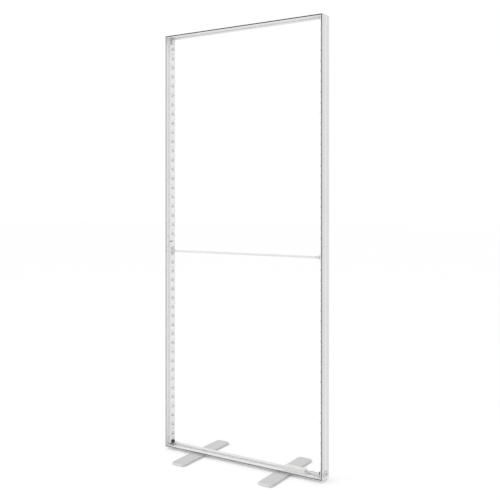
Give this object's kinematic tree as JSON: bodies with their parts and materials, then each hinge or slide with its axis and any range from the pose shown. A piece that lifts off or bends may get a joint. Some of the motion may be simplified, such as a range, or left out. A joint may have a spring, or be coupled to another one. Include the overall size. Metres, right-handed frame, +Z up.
{
  "type": "partition wall",
  "caption": "Free-standing illuminated partition frame: grooved aluminium posts and rails for edge-fixed fabric, light bars down both sides, a sprung cross brace and two turning flat feet.",
  "frame": {"origin": "on the floor, under the middle of the frame", "axes": "+X along the wall to the side with the mains inlet, +Y to the rear, +Z up; the front faces -Y"},
  "size_m": [0.8528, 0.38, 2.01],
  "materials": {
    "extrusion": "clear anodised, satin",
    "connector_steel": "zinc plated",
    "screw_steel": "zinc plated, bright",
    "carrier": "satin white",
    "light_board": "white solder mask",
    "lens": "milky moulded acrylic",
    "light_chip": "pale phosphor",
    "white_plastic": "fine satin moulding",
    "brace_metal": "satin white",
    "brace_plastic": "pale grey moulding",
    "black_plastic": "black moulding",
    "inlet_plastic": "pale grey moulding",
    "gasket_rubber": "dark foam",
    "pin_brass": "nickel plated",
    "circuit_board": "green board",
    "lead_sheath": "white sheath",
    "foot_steel": "silver satin powder coat",
    "pad_rubber": "black rubber"
  },
  "bodies": {
    "frame": {"bar_screws": "screw_steel", "board_connectors": "white_plastic", "bottom_rail": "extrusion", "brace_end_plug": "brace_plastic", "brace_socket_left": "white_plastic", "brace_socket_right": "white_plastic", "brace_spring": "screw_steel", "brace_tube": "brace_metal", "corner_bottom_left": "extrusion", "corner_bottom_right": "extrusion", "corner_keys": "connector_steel", "corner_strips": "connector_steel", "corner_top_left": "extrusion", "corner_top_right": "extrusion", "driver_board": "circuit_board", "driver_case": "white_plastic", "driver_lid": "white_plastic", "driver_screws": "screw_steel", "foot_bolts": "screw_steel", "inlet_gasket": "gasket_rubber", "inlet_pins": "pin_brass", "inlet_screws": "screw_steel", "left_bar_foot": "white_plastic", "left_board_lead": "lead_sheath", "left_board_lower": "light_board", "left_board_upper": "light_board", "left_carrier_lower": "carrier", "left_carrier_upper": "carrier", "left_chips": "light_chip", "left_led_lead": "lead_sheath", "left_led_plug": "black_plastic", "left_lenses_lower": "lens", "left_lenses_upper": "lens", "left_post_lower": "extrusion", "left_post_upper": "extrusion", "light_jumpers": "lead_sheath", "lip_screws": "screw_steel", "mains_lead": "lead_sheath", "mains_plug": "black_plastic", "power_inlet": "inlet_plastic", "right_board_lower": "light_board", "right_board_upper": "light_board", "right_carrier_lower": "carrier", "right_carrier_upper": "carrier", "right_chips": "light_chip", "right_led_lead": "lead_sheath", "right_lenses_lower": "lens", "right_lenses_upper": "lens", "right_post_lower": "extrusion", "right_post_upper": "extrusion", "slot_nuts": "connector_steel", "splice_bars": "connector_steel", "splice_strips": "connector_steel", "top_rail": "extrusion"},
    "left_foot": {"left_foot_plate": "foot_steel", "left_foot_pads": "pad_rubber"},
    "right_foot": {"right_foot_plate": "foot_steel", "right_foot_pads": "pad_rubber"},
    "brace_end": {"brace_plunger": "brace_plastic"}
  },
  "joints": [
    {"name": "left_foot_turn", "type": "hinge", "parent": "frame", "child": "left_foot", "pos_m": [-0.23, 0, 0.006], "axis": [0, 0, 1], "range_deg": [-90, 90]},
    {"name": "right_foot_turn", "type": "hinge", "parent": "frame", "child": "right_foot", "pos_m": [0.23, 0, 0.006], "axis": [0, 0, 1], "range_deg": [-90, 90]},
    {"name": "brace_plunger_slide", "type": "slide", "parent": "frame", "child": "brace_end", "axis": [-1, 0, 0], "range_m": [0, 0.01], "stiffness_N_per_m": 600, "springref_m": -0.01, "deforming": ["brace_spring"]}
  ]
}
